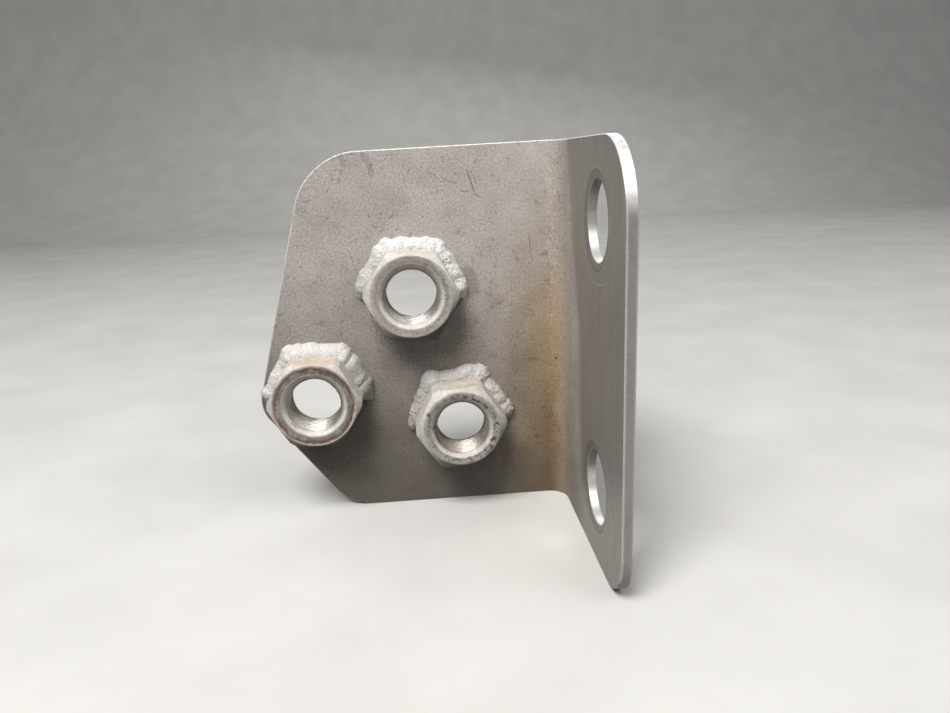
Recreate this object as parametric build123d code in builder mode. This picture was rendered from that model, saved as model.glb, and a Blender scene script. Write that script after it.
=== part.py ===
from build123d import *
from math import atan2, cos, degrees, pi, radians, sin, tan
import os

# Electrical ground plate: one sheet bent to a right angle, with three hex nuts
# welded to the front of its larger leaf and two bolt holes in its flange.
# Lengths are in millimetres. +X points out of the flange's mounting face, +Z runs
# up along the bend, and the nuts stand on the side that faces -Y. The origin is
# the middle of the two flange holes, on the mounting face.

# The bent sheet
sheet_thickness = 1.6
plate_height = 63.5
bend_radius = 3.2
flange_depth = 40.6
corner_radius = 11.1
flange_foot_radius = 7.5

# Outline of the larger leaf, measured from the mounting face and the bottom edge
reach_at_top = 44.2
reach_at_side_corner = 56.0
reach_at_foot = 41.3
side_corner_height = 19.7
top_edge_fall = 0.75
side_corner_radius = 5.0
foot_corner_radius = 8.0

# Flange holes, each with a shallow dished rim on the inner side
flange_hole_radius = 5.75
flange_hole_spacing = 40.3
flange_hole_setback = 25.4
rim_radius = 7.0
rim_depth = 0.25

# Weld nuts: three eighths of an inch, fine thread
nut_across_flats = 14.3
half_flat_angle = 30
nut_height = 7.0
thread_bore_radius = 4.25
countersink_radius = 5.4
crown_slope = 30.0
clearance_hole_radius = 5.15

# Where each nut stands on the leaf, how far it is turned, and how wide its flat crown is
upper_nut_reach = 28.0
upper_nut_height = 39.5
upper_nut_twist = -2.8
upper_crown_radius = 6.7
left_nut_reach = 45.4
left_nut_height = 21.85
left_nut_twist = -1.5
left_crown_radius = 7.05
lower_nut_reach = 20.7
lower_nut_height = 16.1
lower_nut_twist = 3.7
lower_crown_radius = 6.5

# Weld beads, each laid along the three upper flats of its nut: the leg that lies on
# the sheet and the number of ripples, both from the right flat over the top one to
# the left one, how deep the valleys between ripples are, and the lump at a corner.
# Angles are read anticlockwise from the nut's right-hand corner
upper_bead_legs = (1.75, 1.7, 1.75)
upper_bead_ripples = (6, 6, 6)
upper_bead_valley = 0.16
upper_bead_lump = 1.8
left_bead_legs = (2.4, 2.0, 1.85)
left_bead_ripples = (4, 5, 8)
left_bead_valley = 0.3
left_bead_lump = 2.1
lower_bead_legs = (1.75, 1.75, 1.65)
lower_bead_ripples = (3, 3, 3)
lower_bead_valley = 0.35
lower_bead_lump = 2.1
bead_swell = 0.12
ripple_crest_share = 0.45
nose_length = 1.5
nose_shoulder = 0.65
welded_flat_angles = (30, 90, 150)
weld_turn_angles = (60, 120)
bead_arc = 90

# Sizes that follow from the ones above
bottom_z = -plate_height / 2
top_z = plate_height / 2
leaf_back_y = flange_hole_setback
leaf_front_y = leaf_back_y - sheet_thickness
flange_edge_y = leaf_back_y - flange_depth
nut_apothem = nut_across_flats / 2
nut_corner_radius = nut_apothem / cos(radians(half_flat_angle))
flat_length = nut_corner_radius
countersink_depth = countersink_radius - thread_bore_radius


def seat_plane(reach, height, twist):
    """Plane on the front of the leaf under one nut, its normal pointing out of the sheet."""
    turn = radians(twist)
    return Plane(
        origin=(-reach, leaf_front_y, bottom_z + height),
        x_dir=(cos(turn), 0, sin(turn)),
        z_dir=(0, -1, 0),
    )


upper_seat = seat_plane(upper_nut_reach, upper_nut_height, upper_nut_twist)
left_seat = seat_plane(left_nut_reach, left_nut_height, left_nut_twist)
lower_seat = seat_plane(lower_nut_reach, lower_nut_height, lower_nut_twist)


# Ground plate: the sheet's section is drawn as a bent centre line, drawn out along
# the bend, then trimmed to the leaf's outline
middle_y = leaf_front_y + sheet_thickness / 2
middle_x = -sheet_thickness / 2
with BuildPart() as ground_plate:
    with BuildSketch(Plane.XY.offset(bottom_z)):
        with BuildLine():
            FilletPolyline(
                (-reach_at_side_corner, middle_y),
                (middle_x, middle_y),
                (middle_x, flange_edge_y),
                radius=bend_radius + sheet_thickness / 2,
            )
        trace(line_width=sheet_thickness)
    extrude(amount=plate_height)
    with BuildSketch(Plane.XZ.offset(-leaf_back_y)) as outline:
        with BuildLine():
            Polyline(
                (0, bottom_z),
                (0, top_z),
                (-bend_radius - sheet_thickness, top_z),
                (-reach_at_top, top_z - top_edge_fall),
                (-reach_at_side_corner, bottom_z + side_corner_height),
                (-reach_at_foot, bottom_z),
                close=True,
            )
        make_face()
        side_corner = outline.vertices().sort_by(Axis.X)[0]
        fillet(side_corner, radius=side_corner_radius)
        foot_corner = outline.vertices().group_by(Axis.Y)[0].sort_by(Axis.X)[0]
        fillet(foot_corner, radius=foot_corner_radius)
        top_left_corner = outline.vertices().filter_by_position(Axis.Y, 0, top_z).sort_by(Axis.X)[0]
        fillet(top_left_corner, radius=corner_radius)
    extrude(amount=flange_depth, mode=Mode.INTERSECT)
    flange_foot = ground_plate.edges().filter_by(Axis.X).group_by(Axis.Y)[0].sort_by(Axis.Z)[0]
    fillet(flange_foot, radius=flange_foot_radius)
    flange_head = ground_plate.edges().filter_by(Axis.X).group_by(Axis.Y)[0].sort_by(Axis.Z)[-1]
    fillet(flange_head, radius=corner_radius)
    with Locations(upper_seat.location, left_seat.location, lower_seat.location):
        Hole(radius=clearance_hole_radius, depth=sheet_thickness)
    inner_flange = Plane(origin=(-sheet_thickness, 0, 0), x_dir=(0, 1, 0), z_dir=(-1, 0, 0))
    rim_angle = 2 * degrees(atan2(rim_radius - flange_hole_radius, rim_depth))
    with Locations(inner_flange.location):
        with GridLocations(1, flange_hole_spacing, 1, 2):
            CounterSinkHole(
                radius=flange_hole_radius,
                counter_sink_radius=rim_radius,
                depth=sheet_thickness,
                counter_sink_angle=rim_angle,
            )

ground_plate.part.label = "ground_plate"


# Weld nuts: a hexagon drawn out of the sheet, its outer corners turned down to a
# round crown, then bored and countersunk from both ends
def make_weld_nut(seat, crown_radius):
    """One hex nut standing on its seat."""
    through_axis = Plane(origin=seat.origin, x_dir=seat.x_dir, z_dir=-seat.y_dir)
    nut_axis = Axis(seat.origin, seat.z_dir)
    crown_drop = (nut_corner_radius - crown_radius) * tan(radians(crown_slope))
    with BuildPart() as nut:
        with BuildSketch(seat):
            RegularPolygon(radius=nut_apothem, side_count=6, major_radius=False)
        extrude(amount=nut_height)
        with BuildSketch(through_axis):
            with BuildLine():
                Polyline(
                    (0, 0),
                    (nut_corner_radius, 0),
                    (nut_corner_radius, nut_height - crown_drop),
                    (crown_radius, nut_height),
                    (0, nut_height),
                    close=True,
                )
            make_face()
        revolve(axis=nut_axis, mode=Mode.INTERSECT)
        with BuildSketch(through_axis):
            with BuildLine():
                Polyline(
                    (0, 0),
                    (countersink_radius, 0),
                    (thread_bore_radius, countersink_depth),
                    (thread_bore_radius, nut_height - countersink_depth),
                    (countersink_radius, nut_height),
                    (0, nut_height),
                    close=True,
                )
            make_face()
        revolve(axis=nut_axis, mode=Mode.SUBTRACT)
    return nut.part


# Weld beads: a rippled quarter round along each of the three upper flats, tapered to a
# nose at its ends, with a rounded lump where the weld turns a corner of the hexagon
def ripple_outline(leg, count, valley):
    """Rippled strip along one flat, its straight side on the root of the weld."""
    half = flat_length / 2
    trough = leg - valley
    pitch = flat_length / count
    flank = pitch * (1 - ripple_crest_share) / 2
    ripple_points = []
    for i in range(count):
        start = pitch * i - half
        crest = leg + bead_swell * sin(pi * (i + 1) / 2)
        ripple_points.append((start, trough))
        ripple_points.append((start + flank, crest))
        ripple_points.append((start + pitch - flank, crest))
    with BuildLine() as strip:
        Polyline(
            (-half - nose_length, 0),
            (-half - nose_length * nose_shoulder, trough * nose_shoulder),
            *ripple_points,
            (half, trough),
            (half + nose_length * nose_shoulder, trough * nose_shoulder),
            (half + nose_length, 0),
            close=True,
        )
    return strip


def make_weld_bead(seat, legs, ripples, valley, lump):
    """Weld along the three upper flats of the nut on this seat."""
    with BuildPart() as bead:
        for flat_angle, leg, count in zip(welded_flat_angles, legs, ripples):
            turn = radians(flat_angle)
            outward = seat.x_dir * cos(turn) + seat.y_dir * sin(turn)
            root = Plane(
                origin=seat.origin + outward * nut_apothem,
                x_dir=outward.cross(seat.z_dir),
                z_dir=seat.z_dir,
            )
            with BuildSketch(root):
                add(ripple_outline(leg, count, valley))
                make_face()
            revolve(axis=Axis(root.origin, root.x_dir), revolution_arc=bead_arc)
        for corner_angle in weld_turn_angles:
            turn = radians(corner_angle)
            outward = seat.x_dir * cos(turn) + seat.y_dir * sin(turn)
            with Locations(seat.origin + outward * nut_corner_radius):
                Sphere(radius=lump)
        split(bisect_by=seat, keep=Keep.TOP)
        with BuildSketch(seat):
            RegularPolygon(radius=nut_apothem, side_count=6, major_radius=False)
        extrude(amount=nut_height, mode=Mode.SUBTRACT)
    return bead.part


upper_nut = make_weld_nut(upper_seat, upper_crown_radius)
upper_nut.label = "weld_nut_upper"
left_nut = make_weld_nut(left_seat, left_crown_radius)
left_nut.label = "weld_nut_left"
lower_nut = make_weld_nut(lower_seat, lower_crown_radius)
lower_nut.label = "weld_nut_lower"

upper_bead = make_weld_bead(
    upper_seat, upper_bead_legs, upper_bead_ripples, upper_bead_valley, upper_bead_lump
)
upper_bead.label = "weld_bead_upper"
left_bead = make_weld_bead(
    left_seat, left_bead_legs, left_bead_ripples, left_bead_valley, left_bead_lump
)
left_bead.label = "weld_bead_left"
lower_bead = make_weld_bead(
    lower_seat, lower_bead_legs, lower_bead_ripples, lower_bead_valley, lower_bead_lump
)
lower_bead.label = "weld_bead_lower"

os.makedirs("parts", exist_ok=True)
export_step(ground_plate.part, "parts/ground_plate.step")
for piece in (upper_nut, left_nut, lower_nut, upper_bead, left_bead, lower_bead):
    export_step(piece, f"parts/{piece.label}.step")
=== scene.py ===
"""Electrical ground plate: a bent sheet-steel bracket with three welded nuts, dressed around
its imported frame."""

import math
import random
from functools import partial
from types import SimpleNamespace

import bmesh
import bpy
from bpy.props import FloatProperty, FloatVectorProperty, PointerProperty, StringProperty
from mathutils import Matrix, Vector, noise


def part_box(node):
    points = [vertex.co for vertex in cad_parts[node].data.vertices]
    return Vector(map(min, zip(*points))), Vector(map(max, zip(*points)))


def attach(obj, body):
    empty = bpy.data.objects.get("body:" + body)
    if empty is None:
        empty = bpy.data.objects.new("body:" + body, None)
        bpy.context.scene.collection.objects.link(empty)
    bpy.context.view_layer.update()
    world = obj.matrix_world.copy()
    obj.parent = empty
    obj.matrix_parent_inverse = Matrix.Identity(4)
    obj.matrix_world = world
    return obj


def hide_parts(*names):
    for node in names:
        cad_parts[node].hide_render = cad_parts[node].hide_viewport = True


bl_info = {
    "name": "Electrical Ground Plate",
    "version": (1, 0, 0),
    "blender": (4, 5, 0),
    "location": "View3D > Sidebar > Ground Plate",
    "description": "Builds a bent ground plate with welded nuts on its packed frame",
    "category": "Add Mesh",
}

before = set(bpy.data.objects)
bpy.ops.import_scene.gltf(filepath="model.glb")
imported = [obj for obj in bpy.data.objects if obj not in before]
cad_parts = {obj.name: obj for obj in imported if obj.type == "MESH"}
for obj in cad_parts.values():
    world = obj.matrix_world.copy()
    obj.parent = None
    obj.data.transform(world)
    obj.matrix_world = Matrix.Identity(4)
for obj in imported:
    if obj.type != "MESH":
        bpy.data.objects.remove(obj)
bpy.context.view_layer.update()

MM = 0.001
BODY = "root"

# Node kinds that the materials use again and again
MATH = "ShaderNodeMath"
MIX = "ShaderNodeMix"
RANGE = "ShaderNodeMapRange"
VECTOR = "ShaderNodeVectorMath"
NOISE = "ShaderNodeTexNoise"
RAMP = "ShaderNodeValToRGB"
ATTRIBUTE = "ShaderNodeAttribute"

# The three nuts: how far each is turned on the sheet in degrees, how wide its flat crown is
# in millimetres, and how strong its marks are: the rust ring near the edge of the crown, the
# grey film inside it, the dark specks round the mouth, the rust in the roots of the thread,
# and the straw tint that the weld's heat left on the top flat. Rust spots are segments
# (x1, z1, x2, z2, half width, strength) from the nut's middle
NUTS = {
    "upper": {
        "twist": -2.8, "crown": 6.7, "ring": 0.2, "film": 0.35, "specks": 0.35, "bore": 0.1,
        "tint": 0.15,
        "spots": (
            (3.4, 5.75, 1.3, 6.5, 0.1, 0.4), (1.3, 6.5, -1.3, 6.5, 0.1, 0.5),
            (-1.3, 6.5, -3.6, 5.6, 0.1, 0.3),
        ),
    },
    "left": {
        "twist": -1.5, "crown": 7.05, "ring": 1.0, "film": 0.9, "specks": 0.4, "bore": 0.2,
        "tint": 0.6,
        "spots": (
            (-5.9, 1.8, -5.6, 3.2, 0.25, 0.5), (1.6, 5.9, 3.0, 5.3, 0.25, 0.5),
            (-4.2, -2.9, -3.2, -3.9, 0.12, 0.4),
        ),
    },
    "lower": {
        "twist": 3.7, "crown": 6.5, "ring": 0.15, "film": 0.3, "specks": 1.0, "bore": 0.5,
        "tint": 0.3,
        "spots": (
            (-5.7, 3.0, -5.5, 2.8, 0.25, 0.8), (-4.8, 0.5, -4.8, 0.1, 0.22, 0.7),
            (-4.7, -0.6, -3.9, -2.6, 0.12, 0.6),
        ),
    },
}

# The weld on each nut's right, top and left flats: the leg on the sheet in millimetres, the
# number of ripples and how far a ripple spreads as a share of their spacing, the lump where
# the weld turns a corner in millimetres, and how flaky its skin is
BEADS = {
    "upper": {"legs": (1.75, 1.7, 1.75), "ripples": (6, 6, 6), "spread": (2.0, 2.5, 2.1),
              "lump": 1.8, "flakes": 1.6, "seed": 3},
    "left": {"legs": (2.4, 2.0, 1.85), "ripples": (4, 5, 8), "spread": (0.75, 2.0, 1.5),
             "lump": 2.05, "flakes": 0.5, "seed": 11},
    "lower": {"legs": (1.75, 1.75, 1.65), "ripples": (3, 3, 3), "spread": (1.1, 1.5, 1.15),
              "lump": 2.1, "flakes": 2.6, "seed": 7},
}


def linear(hex_colour):
    """Linear RGBA of an sRGB hex colour."""
    channels = [int(hex_colour[i:i + 2], 16) / 255 for i in (1, 3, 5)]
    rgb = [c / 12.92 if c <= 0.04045 else ((c + 0.055) / 1.055) ** 2.4 for c in channels]
    return (*rgb, 1.0)


# Settings that a user may change

def length(label, words, millimetres):
    """A length, shown in the scene's units."""
    return FloatProperty(name=label, description=words, default=millimetres * MM,
                         unit="LENGTH", precision=5)


def angle(label, words, degrees):
    """An angle."""
    return FloatProperty(name=label, description=words, default=math.radians(degrees),
                         subtype="ANGLE")


def power(label, words, watts):
    """The power of a lamp."""
    return FloatProperty(name=label, description=words, default=watts, unit="POWER")


def colour(label, words, hex_colour):
    """A colour."""
    return FloatVectorProperty(name=label, description=words, default=linear(hex_colour),
                               size=4, subtype="COLOR", min=0.0, max=1.0)


class SheetSettings(bpy.types.PropertyGroup):
    """Sizes and colours of the bent sheet."""

    thickness: length("Thickness", "Gauge of the sheet", 1.6)
    bend_radius: length("Bend radius", "Inner radius of the bend", 3.2)
    edge_radius: length("Edge radius", "Rounding left on the sheared edges by blasting", 0.3)
    corner_radius: length("Corner radius", "Rounding of the upper corners", 11.1)
    flange_foot_radius: length("Flange foot radius", "Rounding of the flange's lower corner", 7.5)
    foot_radius: length("Foot radius", "Rounding of the leaf's lower corner", 8.0)
    side_radius: length("Side radius", "Rounding of the leaf's side corner", 5.0)
    reach_at_top: length("Reach at top", "Width of the leaf along its top edge", 44.2)
    reach_at_foot: length("Reach at foot", "Width of the leaf along its bottom edge", 41.3)
    side_reach: length("Side reach", "Reach of the leaf's side corner", 56.0)
    side_height: length("Side height", "Height of the side corner above the bottom edge", 19.7)
    top_fall: length("Top edge fall", "How far the top edge falls to the left", 0.75)
    hole_radius: length("Bolt hole radius", "Radius of a bolt hole in the flange", 5.75)
    hole_spacing: length("Bolt hole spacing", "Distance between the bolt holes", 40.3)
    rim_radius: length("Rim radius", "Outer radius of the dished rim of a bolt hole", 7.0)
    rim_depth: length("Rim depth", "Depth of the dished rim", 0.25)
    nut_hole_radius: length("Nut hole radius", "Clearance hole behind a nut", 5.15)
    steel: colour("Blasted steel", "Warm grey of the blasted leaf", "#B9B2AD")
    # Colour of the low leaf: partly a darker film, partly painted shade near the floor
    shade: colour("Dark film", "Darker film low on the leaf", "#6F6861")
    heat: colour("Heat tint", "Brown stain along the bend, laid over the steel", "#EDD09A")
    straw: colour("Straw tint", "Paler stain on the turn of the bend", "#BFB094")
    smooth: colour("Smooth steel", "Grey-brown of the unblasted flange", "#9B9691")
    sheared: colour("Sheared edge", "Grey of the sheared edges", "#86817D")
    # Also used as the painted highlight on the edges' rims and tops
    bare: colour("Bare metal", "Bare metal where edges are worn", "#F2F1EF")
    # Also laid round the nuts as painted shadow and painted shade
    dark: colour("Dark marks", "Dark scratches, dots and drips", "#4E4A45")


class NutSettings(bpy.types.PropertyGroup):
    """Sizes and colours shared by the three weld nuts."""

    across_flats: length("Across flats", "Width of the hexagon", 14.3)
    height: length("Height", "Height of the nut off the sheet", 7.0)
    bore_radius: length("Bore radius", "Radius at the crests of the thread", 4.25)
    countersink: length("Countersink radius", "Radius at the mouth of the bore", 5.4)
    pitch: length("Thread pitch", "Twenty-four threads to the inch", 25.4 / 24)
    thread_depth: length("Thread depth", "From crest to root of the thread", 0.5)
    dish: length("Dish", "How deep the crown is dished towards its mouth", 0.2)
    rounding: length("Corner rounding", "Softening of the blasted corners", 0.14)
    steel: colour("Frosted steel", "Pale grey of the nut's sides", "#CCC7C1")
    crown: colour("Crown", "Darker grey of the flat crown", "#B0AAA3")
    bore: colour("Bore", "Grey of the thread", "#A39E98")
    rust: colour("Rust", "Brown rust", "#5C4332")
    bore_rust: colour("Thread rust", "Orange-brown rust in the thread", "#866651")
    # Painted shade on the sides of a nut that look down
    underside: colour("Underside", "Film below the nut, which the blasting missed", "#292520")
    grime: colour("Film", "Grey-green film left on the crown", "#67665D")
    specks: colour("Specks", "Dark specks at the crown's edge", "#363631")
    straw: colour("Straw tint", "Tint of the weld's heat, laid over the steel", "#F8E8CC")


class BeadSettings(bpy.types.PropertyGroup):
    """Sizes and colours shared by the three weld beads."""

    voxel: length("Grain", "Size at which the ripples run together", 0.1)
    relief: length("Relief", "Unevenness of the weld's skin", 0.1)
    sink: length("Sink", "How deep the weld reaches into the nut and the sheet", 0.35)
    metal: colour("Weld metal", "Pale frosted weld", "#D8D6D4")
    # Laid on the welds darker towards the bottom
    film: colour("Film", "Darker film on the lowest weld", "#B8B1A7")
    # Painted shade in the creases of the weld
    crease_shade: colour("Soot", "Grey left in the creases", "#A8A39C")
    grime: colour("Grime", "Dark specks and smudges on the weld", "#7A746C")


class StageSettings(bpy.types.PropertyGroup):
    """Camera, floor and lamps."""

    eye: FloatVectorProperty(name="Camera place", description="Where the camera stands",
                             default=(-0.02681, -0.10272, 0.02927), subtype="XYZ",
                             unit="LENGTH", precision=5)
    yaw: angle("Yaw", "Turn about the vertical", -4.214)
    pitch: angle("Pitch", "Tilt below the horizon", -15.012)
    roll: angle("Roll", "Lean of the camera", 2.294)
    lens: FloatProperty(name="Lens", default=28.006,
                        description="Focal length in millimetres on a 36 mm sensor")
    key_power: power("Key lamp", "Power of the lamp above on the left", 4.6)
    side_power: power("Side lamp", "Power of the lamp on the right", 1.7)
    back_power: power("Back lamp", "Power of the lamp behind the part", 1.0)
    fill: FloatProperty(name="Room light", default=0.15,
                        description="Strength of the even light of the room")
    paper: colour("Floor", "Pale studio paper", "#C8C6C2")
    bounce: colour("Floor bounce", "How the floor's light falls back on the part", "#646362")


def in_millimetres(group):
    """The lengths of a property group, in millimetres, by name."""
    lengths = [p.identifier for p in group.bl_rna.properties
               if p.type == "FLOAT" and p.unit == "LENGTH" and not p.is_array]
    return SimpleNamespace(**{name: getattr(group, name) / MM for name in lengths})


def node_box(node):
    """Lowest and highest corner of a node of the frame, in millimetres."""
    low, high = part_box(node)
    return Vector(low) / MM, Vector(high) / MM


def nut_seat(name):
    """Middle of a nut's foot, in millimetres."""
    low, high = node_box(f"weld_nut_{name}")
    return Vector(((low.x + high.x) / 2, high.y, (low.z + high.z) / 2))


# Mesh helpers: every piece is modelled in millimetres and brought to metres at the end

# Faces that meet at more degrees than this keep a hard edge between them
HARD_EDGE = 25
ROUNDING_STEPS = 3


def creased(bm, degrees):
    """Edges whose two faces meet at more than this angle."""
    limit = math.radians(degrees)
    return [e for e in bm.edges if len(e.link_faces) == 2 and e.calc_face_angle(0.0) > limit]


def round_edges(bm, edges, radius):
    """Rounds edges and gives back the faces of the rounding."""
    made = bmesh.ops.bevel(bm, geom=edges, offset=radius, offset_type="OFFSET",
                           segments=ROUNDING_STEPS, profile=0.5, affect="EDGES", material=-1,
                           clamp_overlap=True)
    return made["faces"]


def points(made):
    """The points among what an operator made."""
    return [v for v in made if isinstance(v, bmesh.types.BMVert)]


def everything(bm):
    """All points, edges and faces."""
    return list(bm.verts) + list(bm.edges) + list(bm.faces)


def turned(degrees, axis="Z"):
    """Turn about an axis through the origin."""
    return Matrix.Rotation(math.radians(degrees), 4, axis)


def make_object(name, bm, scale=MM):
    """Puts a bmesh into the scene as a smooth object."""
    for face in bm.faces:
        face.smooth = True
    bmesh.ops.scale(bm, vec=(scale, scale, scale), verts=bm.verts)
    mesh = bpy.data.meshes.new(name)
    bm.to_mesh(mesh)
    bm.free()
    made = bpy.data.objects.new(name, mesh)
    bpy.context.scene.collection.objects.link(made)
    return made


def finish_piece(bm, name, node, material):
    """Turns a bmesh into the piece that stands for one node of the frame."""
    bmesh.ops.recalc_face_normals(bm, faces=bm.faces)
    for edge in creased(bm, HARD_EDGE):
        edge.smooth = False
    piece = make_object(name, bm)
    piece.data.materials.append(material)
    weighted = piece.modifiers.new("Flat faces", "WEIGHTED_NORMAL")
    weighted.keep_sharp = True
    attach(piece, BODY)
    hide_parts(node)


# Material helpers: shaders measure in millimetres on the object's own coordinates

def connect(tree, node, inputs):
    """Links or sets inputs of a node, given by name or in their order."""
    pairs = inputs.items() if isinstance(inputs, dict) else enumerate(inputs)
    for name, value in pairs:
        if isinstance(value, bpy.types.NodeSocket):
            tree.links.new(value, node.inputs[name])
        else:
            node.inputs[name].default_value = value


def add(tree, kind, inputs=(), output=0, stops=(), **settings):
    """Adds a node with its settings, ramp stops and links, and gives back one of its outputs.
    A stop is its place and its colour, or a number that stands for a grey."""
    node = tree.nodes.new(kind)
    for name, value in settings.items():
        setattr(node, name, value)
    connect(tree, node, inputs)
    stops = [(place, shade if isinstance(shade, tuple) else (shade, shade, shade, 1.0))
             for place, shade in stops]
    if stops:
        places = node.color_ramp.elements
        places[0].position, places[0].color = stops[0]
        places[1].position, places[1].color = stops[-1]
        for position, shade in stops[1:-1]:
            places.new(position).color = shade
    return node.outputs[output] if node.outputs else node


def new_material(name):
    """An empty material: itself, its node adder, the call that sets its Principled shader, and
    the place of a point in millimetres."""
    material = bpy.data.materials.new(name)
    material.use_nodes = True
    tree = material.node_tree
    tree.nodes.clear()
    node = partial(add, tree)
    surface = node("ShaderNodeBsdfPrincipled")
    node("ShaderNodeOutputMaterial", {"Surface": surface})
    metres = node("ShaderNodeTexCoord", output="Object")
    place = node(VECTOR, {0: metres, "Scale": 1 / MM}, operation="SCALE")
    return material, node, partial(connect, tree, surface.node), place


def paint(node, base, coats):
    """Lays coats over a base, one after the other. A coat is its colour, how it blends, and its
    masks, which are multiplied together; one without a mask lies everywhere."""
    for shade, blend, *masks in coats:
        cover = masks[0] if masks else 1.0
        for mask in masks[1:]:
            cover = node(MATH, (cover, mask), operation="MULTIPLY")
        base = node(MIX, {0: cover, 6: base, 7: shade}, 2, data_type="RGBA", blend_type=blend)
    return base


def marks(node, flat, segments, ragged):
    """Mask of scratches, drips and dots, each a segment (x1, z1, x2, z2, half width, strength)
    whose outline the ragged noise frays."""
    total = 0.0
    for x1, z1, x2, z2, width, strength in segments:
        start, along = Vector((x1, 0, z1)), Vector((x2 - x1, 0, z2 - z1))
        span = max(along.length, 1e-3)
        offset = node(VECTOR, (flat, start), operation="SUBTRACT")
        run = node(VECTOR, (offset, along / span), "Value", operation="DOT_PRODUCT")
        held = node(RANGE, (run, 0.0, span, 0.0, span))
        nearest = node(VECTOR, {0: along / span, "Scale": held}, operation="SCALE")
        away = node(VECTOR, (offset, nearest), "Value", operation="DISTANCE")
        uneven = node(MATH, (ragged, width, away), operation="MULTIPLY_ADD")
        mask = node(RANGE, (uneven, width * 1.5, width * 0.8, 0.0, strength),
                    interpolation_type="SMOOTHSTEP")
        total = node(MATH, (total, mask), operation="MAXIMUM")
    return total


def relief(node, heights):
    """Bump from (height, depth in millimetres) pairs, one on top of the other."""
    sockets = {"Strength": 1.0}
    for height, depth in heights:
        sockets.update({"Height": height, "Distance": depth * MM})
        sockets["Normal"] = node("ShaderNodeBump", sockets)
    return sockets["Normal"]


# Materials

# Marks on the front of the sheet, in millimetres across the unfolded sheet and up it: first
# drips, dots and dark scratches
DARK_MARKS = (
    (-38.3, 30.6, -37.9, 29.2, 0.45, 0.18), (-33.8, 29.6, -33.4, 27.4, 0.45, 0.22),
    (-34.6, 30.5, -34.4, 29.8, 0.4, 0.2), (-17.6, 27.3, -16.6, 24.1, 0.09, 0.65),
    (-17.0, 27.4, -16.1, 25.2, 0.07, 0.45), (-24.1, 27.2, -22.9, 26.8, 0.09, 0.3),
    (-21.6, 26.3, -20.7, 25.9, 0.11, 0.3), (-18.9, 24.2, -18.2, 23.9, 0.12, 0.35),
    (-16.4, 23.4, -15.5, 23.0, 0.1, 0.4), (-10.8, 29.1, -10.6, 29.0, 0.16, 0.45),
    (-6.8, -20.6, -6.7, -20.6, 0.24, 0.7), (-2.6, -5.8, -2.4, -5.8, 0.24, 0.75),
    (-7.5, 16.7, -6.9, 11.5, 0.06, 0.5), (-4.1, 13.5, -3.7, 9.1, 0.06, 0.5),
    (-38.0, 14.3, -37.6, 13.1, 0.09, 0.35), (-37.3, 12.0, -36.6, 10.2, 0.09, 0.3),
    (-39.0, 12.4, -38.7, 11.8, 0.12, 0.3),
)
# Dark marks in the lee of the nuts and along their feet, which are painted shadow and painted
# shade, and a faint dark smudge at the upper corner
NUT_SHADOWS_AND_SMUDGES = (
    (-26.9, 2.6, -26.3, 1.6, 6.4, 0.55), (-43.9, -14.6, -43.4, -15.4, 6.6, 0.72),
    (-19.4, -20.0, -19.0, -20.6, 6.2, 0.4), (-18.4, 9.4, -18.2, 7.6, 1.6, 0.35),
    (-40.0, 25.5, -37.0, 24.0, 7.0, 0.1), (-20.4, 5.6, -24.4, -0.6, 0.8, 0.8),
    (-24.6, -0.8, -31.0, -0.9, 0.7, 0.65), (-37.8, -12.2, -41.6, -18.1, 0.8, 0.9),
    (-41.8, -18.2, -47.5, -18.6, 0.7, 0.75), (-13.2, -17.9, -17.0, -23.9, 0.8, 0.75),
    (-17.2, -24.1, -23.0, -24.4, 0.7, 0.6),
)
# Grey film left on the lower ends of the welds, and faintly on top of the left one
WELD_SMUDGES = (
    (-36.7, -10.6, -38.4, -6.6, 2.1, 0.6), (-49.0, -2.2, -42.0, -2.2, 2.4, 0.12),
    (-36.2, 7.6, -34.4, 11.2, 2.2, 0.3), (-28.8, -15.4, -27.2, -12.4, 2.2, 0.3),
)
# A paler patch beside the bend, pale scratches, and the arcs that washers scuffed into the
# flange
PALE_MARKS = (
    (-8.5, 28.5, -8.5, 20.0, 4.0, 0.09), (-12.6, 22.4, -10.9, 17.2, 0.04, 0.14),
    (-9.8, -2.2, -8.9, -9.4, 0.04, 0.12), (-31.5, -21.0, -27.4, -24.6, 0.04, 0.12),
    (18.7, 11.6, 22.5, 11.3, 0.1, 0.2), (22.5, 11.3, 26.3, 11.8, 0.1, 0.2),
    (29.9, -18.6, 31.6, -21.2, 0.1, 0.25), (31.6, -21.2, 32.3, -24.4, 0.1, 0.25),
)

# Radii in millimetres between which the rings on a nut's crown are laid out
RINGS_FROM, RINGS_TO = 3.5, 8.5


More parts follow.
